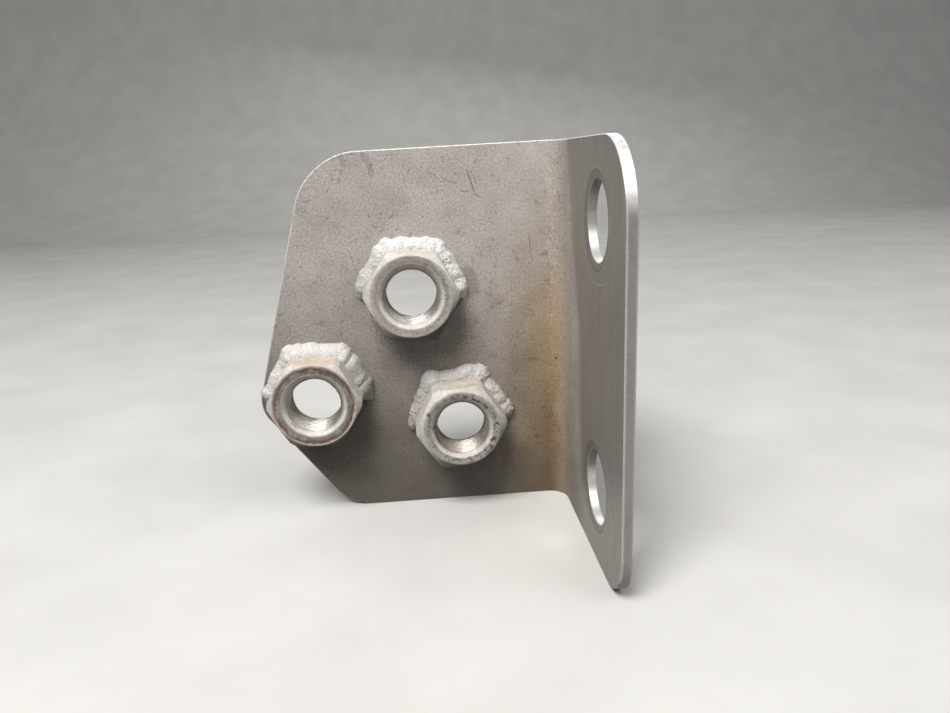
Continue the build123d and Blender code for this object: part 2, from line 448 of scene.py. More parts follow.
def blasted_sheet_steel(colours, size, low, high):
    """Mild sheet steel, bead blasted on the leaf and the bend, which leaves an even matt grey
    with a fine sparkle and brown heat tint beside the bend; the flange keeps the smoother,
    darker rolled face, and its holes shine."""
    material, node, finish, place = new_material("blasted_sheet_steel")
    unrolled, edge, front = (node(ATTRIBUTE, output="Fac", attribute_name=name)
                             for name in ("unrolled", "sheared_edge", "front_side"))
    x, _, z = node("ShaderNodeSeparateXYZ", {0: place}).node.outputs
    flat = node("ShaderNodeCombineXYZ", {"X": unrolled, "Z": z})
    share = node(RANGE, (z, low.z, high.z))

    # Grit marks about 0.35 mm apart, specks of 1 mm, and clouds of 5 and 16 mm
    grit, speck, cloud, drift = (
        node(NOISE, {"Vector": place, "Scale": 1 / width, "Detail": detail, "Roughness": rough})
        for width, detail, rough in ((0.35, 3.0, 0.7), (1.1, 1.0, 0.5), (5.0, 4.0, 0.6),
                                     (16.0, 2.0, 0.5)))

    # The leaf is darker low down, most of all towards its left: partly a darker film, partly
    # painted shade near the floor
    slant = node(MATH, (unrolled, 0.008, share), operation="MULTIPLY_ADD")
    drifting = node(RANGE, {0: drift, 3: 0.3, 4: 0.7})
    film = node(MATH, (slant, 0.75, drifting), operation="MULTIPLY_ADD")
    clear_of_film_and_shade = node(RANGE, (film, 0.26, 0.95), interpolation_type="SMOOTHSTEP")
    leaf = paint(node, colours.shade, [
        (colours.steel, "MIX", clear_of_film_and_shade),
        (linear("#EAE8E5"), "MULTIPLY", node(RANGE, (cloud, 0.36, 0.7))),
    ])

    # Heat tint along the bend, strongest below the middle, with a paler band on the turn
    waver = node(MATH, (cloud, 7.0, unrolled), operation="MULTIPLY_ADD")
    band = node(RAMP, {0: node(RANGE, (waver, -12.5, 4.6))}, stops=(
        (0.0, 0), (0.2, 0.15), (0.45, 0.65), (0.66, 0.9), (0.8, 0.85), (0.91, 0.5), (1.0, 0)))
    pale = node(RAMP, {0: node(RANGE, (waver, -3.0, 10.0))}, stops=(
        (0.25, 0), (0.45, 0.5), (0.7, 0.45), (1.0, 0)))
    height = node(RAMP, {0: share}, stops=(
        (0.0, 0.75), (0.2, 1), (0.5, 0.85), (0.72, 0.25), (1.0, 0.03)))
    leaf = paint(node, leaf, [
        (colours.heat, "MULTIPLY", band, height), (colours.straw, "MIX", pale, height),
    ])

    # The blasting stops on the flange at a slanted line: its place past the bend, as a share
    # of 20 mm
    line = node(RAMP, {0: share}, stops=(
        (0.0, 0.65), (0.28, 0.63), (0.42, 0.6), (0.55, 0.59), (0.67, 0.43), (0.79, 0.32),
        (0.98, 0.18)))
    past = node(MATH, (line, -20.0, unrolled), operation="MULTIPLY_ADD")
    ragged = node(MATH, (speck, 1.5, past), operation="MULTIPLY_ADD")
    smooth = node(RANGE, (ragged, -1.6, 2.4), interpolation_type="SMOOTHSTEP")
    stretched = node("ShaderNodeMapping", {0: place, "Scale": (1, 1, 0.15)})
    rolled = node(NOISE, {"Vector": stretched, "Scale": 1 / 1.4, "Detail": 3.0})
    flange = paint(node, colours.smooth, [
        (linear("#86807A"), "MIX", node(RANGE, (rolled, 0.35, 0.7, 0.0, 0.4))),
        (linear("#9B9793"), "MIX", node(RANGE, (cloud, 0.45, 0.75, 0.0, 0.45))),
    ])

    # Bolt holes: both are as far from the middle, so one distance serves for the two. Each has
    # a dull dished rim, darkened by painted shade with a darker painted outline and a painted
    # highlight just outside it, and a wall that the bolts have polished, painted light at its
    # bottom and dark at its top as painted highlight and painted shade
    halves = node(VECTOR, {0: place}, operation="ABSOLUTE")
    spread = node(VECTOR, (halves, (0, 0, size.hole_spacing / 2)), operation="SUBTRACT")
    across = node(VECTOR, (spread, (0, 1, 1)), operation="MULTIPLY")
    around = node(VECTOR, {0: across}, "Value", operation="LENGTH")
    ring = node(RANGE, (around, 5.5, 8.0))
    # Painted shade on the dished rim with a darker painted outline, and a painted highlight just
    # outside it
    rim = node(RAMP, {0: ring}, stops=((0.0, 0), (0.12, 0.45), (0.52, 0.4), (0.6, 1), (0.68, 0)))
    painted_rim_highlight = node(RAMP, {0: ring}, stops=((0.66, 0), (0.74, 0.3), (0.86, 0)))
    on_flange = node(RANGE, (unrolled, 5.0, 6.0))
    wall = node(MATH, (node(RANGE, (around, 5.9, 5.8)), on_flange), operation="MULTIPLY")
    sign = node(MATH, {0: z}, operation="SIGN")
    above = node(MATH, (sign, -size.hole_spacing / 2, z), operation="MULTIPLY_ADD")
    # Painted highlight low on each hole's wall and painted shade high on it
    wall_highlight_and_shade = node(RAMP, {0: node(RANGE, (above, -6.0, 6.0))}, stops=(
        (0.0, linear("#F4F3F1")), (0.35, linear("#DAD7D3")), (0.6, linear("#8F8B87")),
        (1.0, linear("#5F5B57"))))

    # Sheared edges: a dull grey, lightened along both rims partly by wear and partly as a painted
    # highlight, and lightened towards the top and at the upper corner as a painted highlight
    sheared = node(RAMP, {0: node(RANGE, (x, -size.thickness, 0.0))}, stops=(
        (0.0, 0.45), (0.12, 0.3), (0.24, 0.04), (0.8, 0.06), (0.93, 0.3), (1.0, 0.4)))
    far_edge = node(RANGE, (unrolled, 36.0, 36.5))
    wear = node(RANGE, (speck, 0.2, 0.5, 0.55, 0.95))
    # Wear on the far edge grows towards the top as a painted highlight; the top of every edge is
    # a painted highlight
    worn = node(MATH, (wear, share), operation="MULTIPLY")
    corner = node(RANGE, (share, 0.84, 0.92))
    rims_and_painted_highlight = node(MATH, (sheared, corner), operation="MAXIMUM")
    edge_wear_and_highlight = node(MIX, {0: far_edge, 2: worn, 3: rims_and_painted_highlight})
    rough_edge = paint(node, colours.sheared, [(colours.bare, "MIX", edge_wear_and_highlight)])

    # Fine speckle of the blasted face and the marks on its front
    speckle = node(RAMP, {0: grit}, stops=((0.3, 0.6), (0.5, 1), (0.72, 1.4)))
    matt = node(RANGE, (smooth, 0.0, 1.0, 0.8, 0.3))
    strength = node(MATH, (matt, wall), operation="SUBTRACT", use_clamp=True)
    flecks = node(RANGE, (speck, 0.66, 0.72, 0.0, 0.35))
    frayed = node(MATH, (grit, -0.5), operation="ADD")
    skin = paint(node, leaf, [
        (flange, "MIX", smooth),
        # Painted shade on the rims of the bolt holes and a painted highlight outside them
        (linear("#746E68"), "MIX", rim, on_flange, front),
        (linear("#B3AFAA"), "MIX", painted_rim_highlight, on_flange, front),
        (rough_edge, "MIX", edge),
        # The painted highlight and painted shade on the walls of the bolt holes
        (wall_highlight_and_shade, "MIX", wall),
        (speckle, "MULTIPLY", strength),
        # Painted shadow and painted shade round the nuts, and a faint dark smudge
        (colours.dark, "MIX", marks(node, flat, NUT_SHADOWS_AND_SMUDGES, frayed), front),
        (colours.dark, "MIX", flecks, matt),
        (colours.dark, "MIX", marks(node, flat, DARK_MARKS, frayed), front),
        (colours.bare, "MIX", marks(node, flat, PALE_MARKS, frayed), front),
    ])
    dull = node(RANGE, (smooth, 0.0, 1.0, 0.7, 0.5))
    still = node(MATH, (wall, edge), operation="MAXIMUM")
    swell = node(MIX, {0: still, 2: cloud, 3: 0.5})
    grained = node(MATH, (grit, strength), operation="MULTIPLY")
    finish({
        "Base Color": skin,
        "Metallic": node(MIX, {0: wall, 2: 0.45, 3: 0.75}),
        "Roughness": node(MIX, {0: wall, 2: dull, 3: 0.38}),
        "Normal": relief(node, [(swell, 0.08), (grained, 0.08)]),
    })
    return material


def frosted_nut_steel(colours, name, centre, look):
    """Turned nut steel frosted by the blasting: pale and matt outside, with rust where water
    stood at the edge of the crown and in the thread, and a shine left in the bore. Its sides
    that look down are darkened with painted shade."""
    material, node, finish, place = new_material(f"frosted_nut_steel_{name}")
    offset = node(VECTOR, (place, centre), operation="SUBTRACT")
    across = node(VECTOR, (offset, (1, 0, 1)), operation="MULTIPLY")
    radius = node(VECTOR, {0: across}, "Value", operation="LENGTH")
    # The crown, and the painted shade on the sides that look down
    face, below = (node(ATTRIBUTE, output="Fac", attribute_name=side)
                   for side in ("crown_face", "underside"))

    # Grit marks 0.3 mm apart, crumbs of rust and film of 0.7 mm, and clouds of 1.6 mm
    grit, crumbs, cloud = (
        node(NOISE, {"Vector": place, "Scale": 1 / width, "Detail": detail, "Roughness": rough})
        for width, detail, rough in ((0.3, 2.0, 0.6), (0.7, 3.0, 0.7), (1.6, 4.0, 0.65)))
    mottle = node(RAMP, {0: cloud}, stops=((0.3, 0.78), (0.5, 0.97), (0.7, 1.1)))
    sparkle = node(RAMP, {0: grit}, stops=((0.3, 0.82), (0.5, 1), (0.72, 1.12)))

    # Rings about the axis, from the bore to the corners of the hexagon: the film and the rust
    # on the crown, which are broken up in places, and the rust in the thread
    ring = node(RANGE, (radius, RINGS_FROM, RINGS_TO))
    crown = (look["crown"] - RINGS_FROM) / (RINGS_TO - RINGS_FROM)
    inner = node(RAMP, {0: ring}, stops=(
        (0.4, 0), (0.46, 1), (crown - 0.2, 0.7), (crown - 0.12, 0)))
    held = node(MATH, (ring, 0.07), operation="SUBTRACT")
    wandering = node(MATH, (cloud, 0.2, held), operation="MULTIPLY_ADD")
    rim = node(RAMP, {0: wandering}, stops=(
        (crown - 0.18, 0), (crown - 0.11, 1), (crown - 0.05, 1), (crown - 0.01, 0)))
    broken = node(RANGE, (cloud, 0.36, 0.5, 0.45, 1.0))
    fresh = node(RANGE, (crumbs, 0.45, 0.6, 0.0, 0.8 * look["ring"]))
    bore = node(RANGE, (radius, 5.1, 4.6))
    roots = node(RAMP, {0: ring}, stops=((0.17, 0), (0.2, 1), (0.24, 0.8), (0.27, 0)))

    # Dark specks lie round the mouth of the bore, most of them on the right
    facing = node(VECTOR, (across, (0.15, 0, 0)), "Value", operation="DOT_PRODUCT")
    side = node(RANGE, (facing, -0.6, 0.3, 0.4, 1.0))
    mouth = node(RAMP, {0: ring}, stops=((0.35, 0), (0.41, 1), (0.54, 0.9), (0.63, 0)))
    chips = node(RANGE, (crumbs, 0.52, 0.57))
    frayed = node(MATH, (crumbs, -0.5), operation="ADD")
    lift = node("ShaderNodeSeparateXYZ", {0: offset}, output="Z")
    skin = paint(node, colours.steel, [
        # Painted shade on the sides that look down
        (colours.underside, "MIX", below, 0.9),
        (colours.crown, "MIX", face),
        (colours.bore, "MIX", bore),
        (sparkle, "MULTIPLY"),
        (mottle, "MULTIPLY"),
        (colours.grime, "MIX", inner, broken, look["film"]),
        (colours.rust, "MIX", rim, broken, look["ring"]),
        (colours.bore_rust, "MIX", rim, broken, fresh),
        (colours.rust, "MIX", marks(node, across, look["spots"], frayed)),
        (colours.specks, "MIX", mouth, side, chips, look["specks"]),
        (colours.bore_rust, "MIX", roots, look["bore"]),
        (colours.straw, "MULTIPLY", node(RANGE, (lift, 6.75, 7.1)), look["tint"]),
    ])
    finish({
        "Base Color": skin,
        "Metallic": node(RANGE, (bore, 0.0, 1.0, 0.2, 0.7)),
        "Roughness": node(RANGE, (bore, 0.0, 1.0, 0.7, 0.42)),
        "Normal": relief(node, [(cloud, 0.04), (grit, 0.05)]),
    })
    return material


def frosted_weld_metal(colours):
    """Weld metal frosted by the blasting: almost white where it stands proud, with painted shade
    in the creases, and darker towards the bottom, on the lowest weld."""
    material, node, finish, place = new_material("frosted_weld_metal")
    grit = node(NOISE, {"Vector": place, "Scale": 1 / 0.3, "Detail": 2.0, "Roughness": 0.6})
    cloud = node(NOISE, {"Vector": place, "Scale": 1 / 1.8, "Detail": 3.0})
    height = node("ShaderNodeSeparateXYZ", {0: place}, output="Z")
    crease = node(ATTRIBUTE, output="Fac", attribute_name="crease")
    sparkle = node(RAMP, {0: grit}, stops=((0.28, 0.72), (0.45, 0.97), (0.72, 1.1)))
    flat = node(VECTOR, (place, (1, 0, 1)), operation="MULTIPLY")
    frayed = node(MATH, (cloud, -0.5), operation="ADD")
    skin = paint(node, colours.metal, [
        (linear("#CDC9C4"), "MIX", node(RANGE, (cloud, 0.4, 0.7, 0.0, 0.5))),
        # Darker towards the bottom of the welds
        (colours.film, "MIX", node(RANGE, (height, -4.0, -14.0, 0.0, 0.75))),
        (sparkle, "MULTIPLY"),
        # Painted shade in the creases
        (colours.crease_shade, "MIX", crease),
        (colours.grime, "MIX", node(RANGE, (grit, 0.61, 0.66, 0.0, 0.5))),
        (colours.grime, "MIX", marks(node, flat, WELD_SMUDGES, frayed)),
    ])
    finish({
        "Base Color": skin,
        "Metallic": 0.25,
        "Roughness": node(RANGE, (grit, 0.3, 0.7, 0.68, 0.82)),
        "Normal": relief(node, [(cloud, 0.06), (grit, 0.14)]),
    })
    return material


def studio_paper(colours):
    """Matt studio paper: pale, with a faint mottle of its pulp. It throws less light back on
    the part than it shows."""
    material, node, finish, place = new_material("studio_paper")
    pulp = node(NOISE, {"Vector": place, "Scale": 1 / 25.0, "Detail": 3.0})
    mottled = paint(node, colours.paper, [
        (linear("#DEDCD7"), "MIX", node(RANGE, (pulp, 0.35, 0.7, 0.0, 0.4))),
    ])
    rays = node("ShaderNodeLightPath").node.outputs
    mirrored = node(MATH, (rays["Is Glossy Ray"], rays["Is Transmission Ray"]),
                    operation="MAXIMUM")
    seen = node(MATH, (rays["Is Camera Ray"], mirrored), operation="MAXIMUM")
    shown = paint(node, colours.bounce, [(mottled, "MIX", seen)])
    finish({"Base Color": shown, "Roughness": 0.9})
    return material


# The sheet: a flat blank is cut and punched, its edges are rounded, and it is folded

FOLD_STEPS = 14
CORNER_STEPS = 20
HOLE_STEPS = 72
# Edges that the shears and punches left are sharper than this many degrees
SHEARED_CORNER = 60
# Two places nearer than this, in millimetres, are one
SAME_PLACE = 1e-3


def cut_blank(size, low, high):
    """Outline and holes of the flat blank as closed loops of edges, in the plane of the
    leaf's front, with the rims of its bolt holes and where it will be folded."""
    bm = bmesh.new()
    front = high.y - size.thickness
    inner_y = front - size.bend_radius
    turn = math.radians(90) / FOLD_STEPS
    step = 2 * (size.bend_radius + size.thickness / 2) * math.sin(turn / 2)
    fold_start = -size.bend_radius - size.thickness
    fold_end = fold_start + FOLD_STEPS * step
    flange_end = fold_end + inner_y - low.y
    corners = [
        (flange_end, low.z, size.flange_foot_radius),
        (flange_end, high.z, size.corner_radius),
        (fold_start, high.z, 0.0),
        (-size.reach_at_top, high.z - size.top_fall, size.corner_radius),
        (-size.side_reach, low.z + size.side_height, size.side_radius),
        (-size.reach_at_foot, low.z, size.foot_radius),
    ]
    verts = [bm.verts.new((x, front, z)) for x, z, _ in corners]
    bm.faces.new(verts)
    places = [v.co.copy() for v in verts]
    for i, (_, _, radius) in enumerate(corners):
        if radius:
            before = places[i - 1] - places[i]
            after = places[(i + 1) % len(places)] - places[i]
            setback = radius / math.tan(before.angle(after) / 2)
            bmesh.ops.bevel(bm, geom=[verts[i]], offset=setback, offset_type="OFFSET",
                            segments=CORNER_STEPS, profile=0.5, affect="VERTICES", material=-1)
    bmesh.ops.delete(bm, geom=list(bm.faces), context="FACES_ONLY")

    rims = []
    for sign in (-1, 1):
        centre = Vector((fold_end + inner_y, front, sign * size.hole_spacing / 2))
        rims.append((centre, punch(bm, centre, size.rim_radius)))
    for name in NUTS:
        seat = nut_seat(name)
        punch(bm, Vector((seat.x, front, seat.z)), size.nut_hole_radius)
    fold = SimpleNamespace(start=fold_start, step=step, turn=turn,
                           middle_y=front + size.thickness / 2)
    return bm, rims, fold


def punch(bm, centre, radius):
    """Closed loop of a round hole."""
    made = bmesh.ops.create_circle(bm, cap_ends=False, segments=HOLE_STEPS, radius=radius,
                                   matrix=Matrix.Translation(centre) @ turned(90, "X"))
    return made["verts"]


def thicken_blank(bm, rims, size):
    """Fills the blank, dishes the rims of its bolt holes, gives it its gauge and rounds its
    edges."""
    bmesh.ops.triangle_fill(bm, use_beauty=True, use_dissolve=True, edges=list(bm.edges))
    share = size.hole_radius / size.rim_radius
    inner = []
    for centre, loop in rims:
        corners = set(loop)
        edges = [e for e in bm.edges if e.is_boundary and corners.issuperset(e.verts)]
        ring = points(bmesh.ops.extrude_edge_only(bm, edges=edges)["geom"])
        bmesh.ops.scale(bm, vec=(share, 1, share), space=Matrix.Translation(-centre), verts=ring)
        inner.extend(ring)
    bmesh.ops.recalc_face_normals(bm, faces=bm.faces)
    back = points(bmesh.ops.extrude_face_region(bm, geom=list(bm.faces))["geom"])
    bmesh.ops.translate(bm, vec=(0, size.thickness, 0), verts=back)
    bmesh.ops.translate(bm, vec=(0, size.rim_depth, 0), verts=inner)
    bmesh.ops.recalc_face_normals(bm, faces=bm.faces)
    sheared = bm.faces.layers.float.new("sheared_edge")
    for face in bm.faces:
        face[sheared] = 1.0 if abs(face.normal.y) < 0.5 else 0.0
    for face in round_edges(bm, creased(bm, SHEARED_CORNER), size.edge_radius):
        face[sheared] = 1.0


def fold_blank(bm, fold):
    """Cuts the blank across at each line of the bend and folds it there, a little at a time."""
    unrolled = bm.verts.layers.float.new("unrolled")
    front = bm.verts.layers.float.new("front_side")
    lines = [fold.start + i * fold.step for i in range(FOLD_STEPS + 1)]
    for x in lines:
        bmesh.ops.bisect_plane(bm, geom=everything(bm), dist=1e-4, plane_co=(x, 0, 0),
                               plane_no=(1, 0, 0))
    for vert in bm.verts:
        vert[unrolled] = vert.co.x
        vert[front] = 1.0 if vert.co.y < fold.middle_y else 0.0
    pivot = Vector((fold.start, fold.middle_y, 0))
    heading = Vector((1, 0, 0))
    for i, x in enumerate(lines):
        turn = fold.turn / 2 if i in (0, FOLD_STEPS) else fold.turn
        whole, half = (Matrix.Rotation(-part, 3, "Z") for part in (turn, turn / 2))
        beyond = [v for v in bm.verts if v[unrolled] > x + SAME_PLACE]
        on_line = [v for v in bm.verts if abs(v[unrolled] - x) <= SAME_PLACE]
        bmesh.ops.rotate(bm, cent=pivot, matrix=whole, verts=beyond)
        bmesh.ops.rotate(bm, cent=pivot, matrix=half, verts=on_line)
        heading = whole @ heading
        pivot = pivot + heading * fold.step


class OBJECT_OT_ground_plate_sheet(bpy.types.Operator):
    """Cut, punch and fold the sheet"""

    bl_idname = "object.ground_plate_sheet"
    bl_label = "Add Bent Sheet"
    bl_options = {"REGISTER", "UNDO"}

    def execute(self, context):
        settings = context.scene.ground_plate_sheet
        size = in_millimetres(settings)
        low, high = node_box("ground_plate")
        bm, rims, fold = cut_blank(size, low, high)
        thicken_blank(bm, rims, size)
        fold_blank(bm, fold)
        material = blasted_sheet_steel(settings, size, low, high)
        finish_piece(bm, "bent_sheet", "ground_plate", material)
        return {"FINISHED"}


# The nuts: a turned blank with its thread, from which the six flats are cut

# A corner of the hexagon is blunted from this many degrees off the middle of a flat, which
# falls halfway between two steps of the turning
ROUND_STEPS = 144
BLUNT_ANGLE = 26.25
CROWN_SLOPE = 30
# Width of the level band at the edge of the crown, in millimetres
CROWN_BAND = 0.4
# Rows of points along the bore and down each countersink
BORE_ROWS = 52
SINK_ROWS = 8
# Share of half the pitch that is level at the crest and again at the root of the thread
THREAD_LEVEL = 0.12
# Edges between two of a nut's faces are sharper than this many degrees
NUT_CORNER = 20
# What a radius may be out by, in millimetres
SLACK = 0.02
# The most that a rounding may take of the band between the crown and a flat
ROUNDING_SHARE = 0.45
# The way that the sides of a nut painted in shade look before it stands up, times how fast the
# painted shade fades
SHADED_SIDE = Vector((0.3, -0.95, 0.0)) * 2.2


def turn_nut(size, crown):
    """Blank turned about the upright axis through the origin, with its seat at nought and its
    crown at the nut's height."""
    bm = bmesh.new()
    corner = size.across_flats / 2 / math.cos(math.radians(BLUNT_ANGLE))
    shoulder = size.height - (corner - crown) * math.tan(math.radians(CROWN_SLOPE))
    sunk = size.countersink - size.bore_radius
    mouth = size.height - size.dish
    profile = [
        (size.countersink, 0.0), (corner, 0.0), (corner, shoulder), (crown, size.height),
        (crown - CROWN_BAND, size.height), (size.countersink, mouth),
        (size.bore_radius, mouth - sunk), (size.bore_radius, sunk),
    ]
    verts = [bm.verts.new((r, 0, h)) for r, h in profile]
    edges = [bm.edges.new((verts[i], verts[(i + 1) % len(verts)])) for i in range(len(verts))]
    upper_sink, bore, lower_sink = edges[5:]
    for edge, rows in ((bore, BORE_ROWS), (upper_sink, SINK_ROWS), (lower_sink, SINK_ROWS)):
        bmesh.ops.subdivide_edges(bm, edges=[edge], cuts=rows)
    bmesh.ops.spin(bm, geom=list(bm.verts) + list(bm.edges), cent=(0, 0, 0), axis=(0, 0, 1),
                   angle=math.radians(360), steps=ROUND_STEPS, use_merge=True,
                   use_duplicate=False)
    bmesh.ops.remove_doubles(bm, verts=bm.verts, dist=1e-4)
    bmesh.ops.recalc_face_normals(bm, faces=bm.faces)
    return bm


def cut_thread(bm, size):
    """Winds the thread into the bore: its grooves run out into the countersinks."""
    for vert in bm.verts:
        radius = math.hypot(vert.co.x, vert.co.y)
        if radius < size.countersink - SLACK:
            turns = vert.co.z / size.pitch - math.atan2(vert.co.y, vert.co.x) / (2 * math.pi)
            wave = abs((turns % 1.0) * 2 - 1)
            groove = min(max((wave - THREAD_LEVEL) / (1 - 2 * THREAD_LEVEL), 0.0), 1.0)
            root = size.bore_radius + size.thread_depth * groove
            if root > radius:
                vert.co.xy *= root / radius


def cut_flats(bm, size):
    """Mills the six flats and closes each cut."""
    for i in range(6):
        outward = turned(30 + 60 * i) @ Vector((1, 0, 0))
        cut = bmesh.ops.bisect_plane(bm, geom=everything(bm), dist=1e-5, clear_outer=True,
                                     plane_co=outward * size.across_flats / 2,
                                     plane_no=outward)["geom_cut"]
        rim = [e for e in cut if isinstance(e, bmesh.types.BMEdge)]
        bmesh.ops.edgeloop_fill(bm, edges=rim)


def mark_sides(bm, size):
    """Stores which faces make the crown, and which look down once the nut stands on the
    sheet, for the painted shade on them."""
    crown_face = bm.faces.layers.float.new("crown_face")
    underside = bm.faces.layers.float.new("underside")
    bm.normal_update()
    for face in bm.faces:
        middle = face.calc_center_median()
        if middle.z > size.height - size.dish and face.normal.z > 0.9:
            face[crown_face] = 1.0
        elif middle.xy.length > size.countersink:
            face[underside] = min(max(face.normal.dot(SHADED_SIDE), 0.0), 1.0)


def stand(bm, seat, twist):
    """Lays a piece that was made upright on the front of the leaf, turned by its twist."""
    place = Matrix.Translation(seat) @ turned(-twist, "Y") @ turned(90, "X")
    bmesh.ops.transform(bm, matrix=place, verts=bm.verts)


class OBJECT_OT_ground_plate_nut(bpy.types.Operator):
    """Turn, thread and mill one weld nut"""

    bl_idname = "object.ground_plate_nut"
    bl_label = "Add Weld Nut"
    bl_options = {"REGISTER", "UNDO"}

    nut: StringProperty(name="Nut", description="Which of the nuts", default="upper")

    def execute(self, context):
        settings = context.scene.ground_plate_nuts
        size = in_millimetres(settings)
        look = NUTS[self.nut]
        seat = nut_seat(self.nut)
        bm = turn_nut(size, look["crown"])
        cut_thread(bm, size)
        cut_flats(bm, size)
        bmesh.ops.recalc_face_normals(bm, faces=bm.faces)
        outer = [e for e in creased(bm, NUT_CORNER)
                 if min(math.hypot(v.co.x, v.co.y) for v in e.verts) > size.countersink + SLACK]
        narrowest = size.across_flats / 2 - look["crown"]
        round_edges(bm, outer, min(size.rounding, narrowest * ROUNDING_SHARE))
        mark_sides(bm, size)
        stand(bm, seat, look["twist"])
        material = frosted_nut_steel(settings, self.nut, seat, look)
        finish_piece(bm, f"nut_{self.nut}", f"weld_nut_{self.nut}", material)
        return {"FINISHED"}


# The welds: lobes of metal are laid along the flats and run together

# How the lobes of a weld differ, each drawn between two bounds: the size in millimetres, the
# place as a share of their spacing, the slant and the tilt in degrees, and the height, and
# then the width and the height of a corner's lump, as shares
VARY = SimpleNamespace(size=(-0.12, 0.06), place=(-0.15, 0.15), slant=(6, 30), tilt=(-16, 16),
                       height=(0.95, 1.12), lump_width=(0.9, 1.0), lump_height=(0.85, 0.97))
# How far every other ripple stands proud, how far a lobe may pass the end of its flat, and
# the half sizes of the nose that ends the weld, in millimetres
RIPPLE_SWELL = 0.12
LOBE_PAST_END = 1.2
NOSE = (1.15, 1.65, 1.05)
# Half the length of the core that fills a weld, as a share of the flat
CORE_SHARE = 0.66
SMOOTHING_PASSES = 3
# What is left of the weld's depth where it is pressed flat: enough to keep its points apart
PRESSED = 0.04
# Swells, flakes and grains of the weld's skin, to the millimetre
SWELL_RATE, FLAKE_RATE, GRAIN_RATE = 0.55, 1.25, 3.1
# What turns a crease's depth in millimetres into the strength of its painted shade
CREASE_GAIN = 90


def lay_lobes(nut_size, bead):
    """Overlapping lobes along the right, top and left flats of a nut, in the nut's own
    upright frame."""
    draw = random.Random(bead["seed"])
    root = nut_size.across_flats / 2
    corner = root / math.cos(math.radians(30))
    lobes = []
    for flat_angle, leg, count, spread in zip((30, 90, 150), bead["legs"], bead["ripples"],
                                              bead["spread"]):
        pitch = corner / count
        for i in range(count):
            swell = leg + RIPPLE_SWELL * math.sin(math.pi * (i + 1) / 2)
            swell += draw.uniform(*VARY.size)
            along = -corner / 2 + pitch * (i + 0.5) + draw.uniform(*VARY.place) * pitch
            width = min(pitch * spread, corner / 2 - abs(along) + LOBE_PAST_END)
            slant = turned(draw.uniform(*VARY.slant))
            tilt = turned(draw.uniform(*VARY.tilt), "X")
            height = swell * draw.uniform(*VARY.height)
            lobes.append(turned(flat_angle) @ Matrix.Translation((root, along, 0.0)) @ slant
                         @ tilt @ Matrix.Diagonal((swell, width, height, 1)))
        lobes.append(turned(flat_angle) @ Matrix.Translation((root, 0, 0))
                     @ Matrix.Diagonal((leg, corner * CORE_SHARE, leg, 1)))
    for corner_angle in (60, 120):
        ball = bead["lump"]
        lobes.append(turned(corner_angle) @ Matrix.Translation((corner, 0, 0))
                     @ Matrix.Diagonal((ball, ball * draw.uniform(*VARY.lump_width),
                                        ball * draw.uniform(*VARY.lump_height), 1)))
    for flat_angle, end in ((30, -1), (150, 1)):
        lobes.append(turned(flat_angle) @ Matrix.Translation((root, end * corner / 2, 0))
                     @ Matrix.Diagonal((*NOSE, 1)))
    bm = bmesh.new()
    for lobe in lobes:
        bmesh.ops.create_icosphere(bm, subdivisions=4, radius=1.0, matrix=lobe)
    return bm


def run_together(bm, voxel):
    """Melts overlapping shapes into one skin."""
    melt = make_object("melt", bm, scale=1.0)
    mesh = melt.data
    remesh = melt.modifiers.new("Melt", "REMESH")
    remesh.mode = "VOXEL"
    remesh.voxel_size = voxel
    graph = bpy.context.evaluated_depsgraph_get()
    skin = bpy.data.meshes.new_from_object(melt.evaluated_get(graph))
    result = bmesh.new()
    result.from_mesh(skin)
    bpy.data.objects.remove(melt)
    bpy.data.meshes.remove(mesh)
    bpy.data.meshes.remove(skin)
    return result


def roughen(bm, height, flakes, seed):
    """Raises and lowers the skin by noise: broad swells, creased flakes about 0.8 mm wide and
    fine grain."""
    bm.normal_update()
    offset = Vector((seed, 0, 0))

    def level(place):
        swell, flake, grain = (noise.noise(place * rate + offset)
                               for rate in (SWELL_RATE, FLAKE_RATE, GRAIN_RATE))
        return 2.0 * swell + flakes * (abs(flake) - 0.22) + 0.8 * grain

    moves = [v.normal * height * level(v.co) for v in bm.verts]
    for vert, move in zip(bm.verts, moves):
        vert.co += move


def press_in(bm, root, sink):
    """Holds the weld off the nut's thread and the back of the sheet: it reaches only a little
    way into both."""
    outward = [turned(degrees) @ Vector((1, 0, 0)) for degrees in range(30, 390, 60)]
    for vert in bm.verts:
        if vert.co.z < -sink:
            vert.co.z = -sink + (vert.co.z + sink) * PRESSED
        reach, flat = max((vert.co.dot(n), i) for i, n in enumerate(outward))
        if reach < root - sink:
            vert.co += outward[flat] * (root - sink - reach) * (1 - PRESSED)


def mark_creases(bm):
    """Stores how deep in a crease each point of the skin lies, from nought to one, for the
    painted shade in the creases.
    """
    crease = bm.verts.layers.float.new("crease")
    bm.normal_update()
    hollow = {}
    for vert in bm.verts:
        around = [e.other_vert(vert).co for e in vert.link_edges]
        middle = sum(around, Vector()) / len(around)
        hollow[vert] = (middle - vert.co).dot(vert.normal)
    for vert in bm.verts:
        near = [hollow[e.other_vert(vert)] for e in vert.link_edges]
        depth = (hollow[vert] + sum(near)) / (len(near) + 1)
        vert[crease] = min(max(depth * CREASE_GAIN, 0.0), 1.0)


